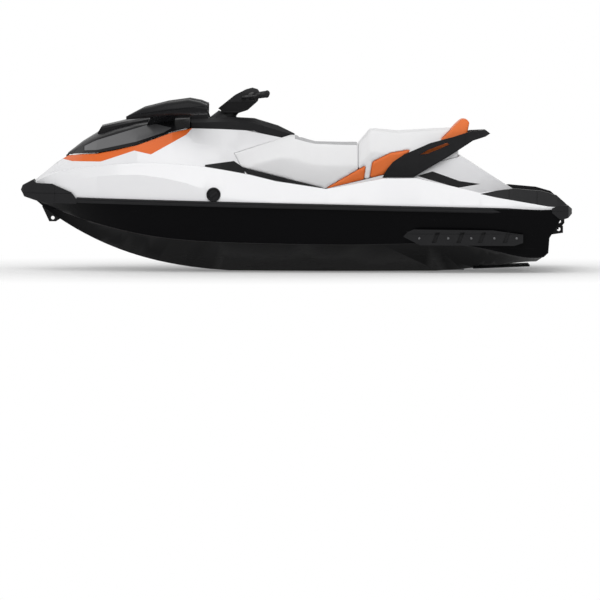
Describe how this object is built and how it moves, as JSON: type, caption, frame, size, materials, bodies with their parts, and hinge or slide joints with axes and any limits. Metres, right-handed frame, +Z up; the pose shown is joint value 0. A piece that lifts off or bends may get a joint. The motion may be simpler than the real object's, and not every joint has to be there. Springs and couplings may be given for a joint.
{
  "type": "personal watercraft",
  "caption": "Jet-driven sit-down watercraft with a stepped saddle seat, handlebar steering, front storage under a hinged hood, mirrors, footwells and a stern platform.",
  "frame": {"origin": "on the floor under the middle of the craft", "axes": "+X towards the bow, +Y to port, +Z up"},
  "size_m": [3.368, 1.2268, 1.122],
  "materials": {
    "hull_black": "gloss",
    "deck_white": "gloss",
    "accent_orange": "gloss",
    "hood_black": "gloss",
    "panel_grey": "gloss",
    "trim_black": "satin",
    "rubber_black": "matte",
    "mat_rubber": "matte",
    "seat_white": "satin",
    "seat_orange": "satin",
    "cast_metal": "satin",
    "steel": "satin",
    "mirror_glass": "gloss",
    "gauge_glass": "gloss",
    "engine_metal": "satin"
  },
  "bodies": {
    "craft": {"hull": "hull_black", "deck": "deck_white", "rub_rail": "rubber_black", "bow_bumper": "rubber_black", "stern_bumper": "rubber_black", "hood_trim": "accent_orange", "cowl_vents": "trim_black", "pedestal_strips": "trim_black", "gunwale_pads": "trim_black", "seat_driver": "seat_white", "seat_passenger": "seat_white", "seat_accents": "seat_orange", "seat_bolster": "seat_orange", "grab_handle": "trim_black", "console": "trim_black", "gauge_pod": "trim_black", "gauge_screen": "gauge_glass", "storage_bin": "trim_black", "hood_hinge": "steel", "footwell_mats": "mat_rubber", "platform_mat": "mat_rubber", "sponsons": "trim_black", "fuel_cap": "trim_black", "bow_eye": "trim_black", "stern_eyes": "trim_black", "tow_eye": "trim_black", "engine_block": "engine_metal", "pump_housing": "cast_metal", "ride_plate": "trim_black", "intake_grate": "cast_metal"},
    "steering": {"steering_stem": "trim_black", "handlebar": "steel", "steering_cover": "trim_black", "grips": "rubber_black", "controls": "trim_black"},
    "hood_lid": {"hood": "hood_black", "hood_sides": "panel_grey", "mirror_housings": "hood_black", "mirror_glass": "mirror_glass"},
    "glove_lid": {"glove_lid": "trim_black"},
    "nozzle": {"steering_nozzle": "cast_metal"},
    "gate": {"reverse_gate": "cast_metal"},
    "impeller": {"impeller": "steel", "drive_shaft": "steel"}
  },
  "joints": [
    {"name": "steering", "type": "hinge", "parent": "craft", "child": "steering", "pos_m": [0.44, 0, 0.905], "axis": [-0.6157, 0, 0.788], "range_deg": [-24, 24]},
    {"name": "nozzle_swing", "type": "hinge", "parent": "craft", "child": "nozzle", "pos_m": [-1.413, 0, 0.152], "axis": [0, 0, 1], "range_deg": [-20.5, 20.5]},
    {"name": "reverse_gate", "type": "hinge", "parent": "craft", "child": "gate", "pos_m": [-1.35, 0, 0.152], "axis": [0, -1, 0], "range_deg": [0, 80]},
    {"name": "impeller_spin", "type": "hinge", "parent": "craft", "child": "impeller", "pos_m": [-1.2, 0, 0.152], "axis": [1, 0, 0], "continuous": true},
    {"name": "hood_hinge", "type": "hinge", "parent": "craft", "child": "hood_lid", "pos_m": [1.397, 0, 0.706], "axis": [0, 1, 0], "range_deg": [0, 50]},
    {"name": "glove_hinge", "type": "hinge", "parent": "craft", "child": "glove_lid", "pos_m": [0.288, 0, 0.931], "axis": [0, 1, 0], "range_deg": [0, 45]}
  ],
  "couplings": [
    {"joint": "nozzle_swing", "follows": "steering", "ratio": -0.8333}
  ]
}
